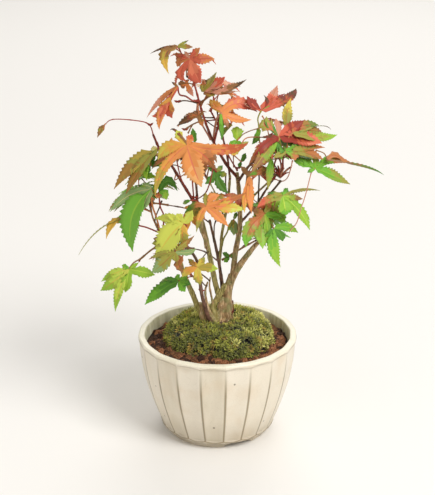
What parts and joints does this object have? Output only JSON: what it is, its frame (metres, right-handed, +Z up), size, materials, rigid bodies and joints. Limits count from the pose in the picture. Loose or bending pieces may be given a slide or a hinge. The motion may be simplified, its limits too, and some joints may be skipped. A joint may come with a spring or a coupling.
{
  "type": "japanese maple bonsai",
  "caption": "Young clump-form maple bonsai in autumn colour: slim stems and palmate leaves over a mound of moss in a small round fluted pot.",
  "frame": {"origin": "the point of the table under the middle of the plant's whole bounding box; the pot's own axis stands at x -8.2 mm, y -5.9 mm", "axes": "+Z up; -Y towards the viewer of the picture; +X to the viewer's right"},
  "size_m": [0.1822, 0.1118, 0.2506],
  "materials": {
    "glazed_stoneware": "satin",
    "clay_granules": "matte",
    "moss": "matte",
    "bark": "matte",
    "red_leaves": "satin",
    "orange_leaves": "satin",
    "gold_leaves": "satin",
    "green_leaves": "satin"
  },
  "bodies": {
    "root": {"pot": "glazed_stoneware", "soil": "clay_granules", "moss": "moss", "trunk": "bark", "stem_left": "bark", "stem_front": "bark", "stem_middle": "bark", "stem_back_left": "bark", "stem_back_right": "bark", "stem_right": "bark", "bough_far_right": "bark", "bough_leader": "bark", "bough_upper_right": "bark", "bough_bud": "bark", "bough_left": "bark", "bough_centre": "bark", "bough_back_left": "bark", "bough_back_low": "bark", "bough_back_middle": "bark", "bough_back_top": "bark", "bough_back_right": "bark", "foliage_top": "red_leaves", "foliage_upper_middle": "red_leaves", "foliage_upper_right": "red_leaves", "foliage_right": "green_leaves", "foliage_right_low": "green_leaves", "foliage_middle_right": "orange_leaves", "foliage_middle": "orange_leaves", "foliage_centre": "orange_leaves", "foliage_left_upper": "green_leaves", "foliage_left_shoot": "red_leaves", "foliage_left": "green_leaves", "foliage_left_low": "green_leaves", "foliage_left_inner": "gold_leaves", "foliage_front_low": "green_leaves", "foliage_bud": "red_leaves", "foliage_back_left": "green_leaves", "foliage_back_low": "green_leaves", "foliage_back_middle": "gold_leaves", "foliage_back_top": "orange_leaves", "foliage_back_right": "green_leaves", "foliage_back_under": "green_leaves"}
  },
  "joints": []
}
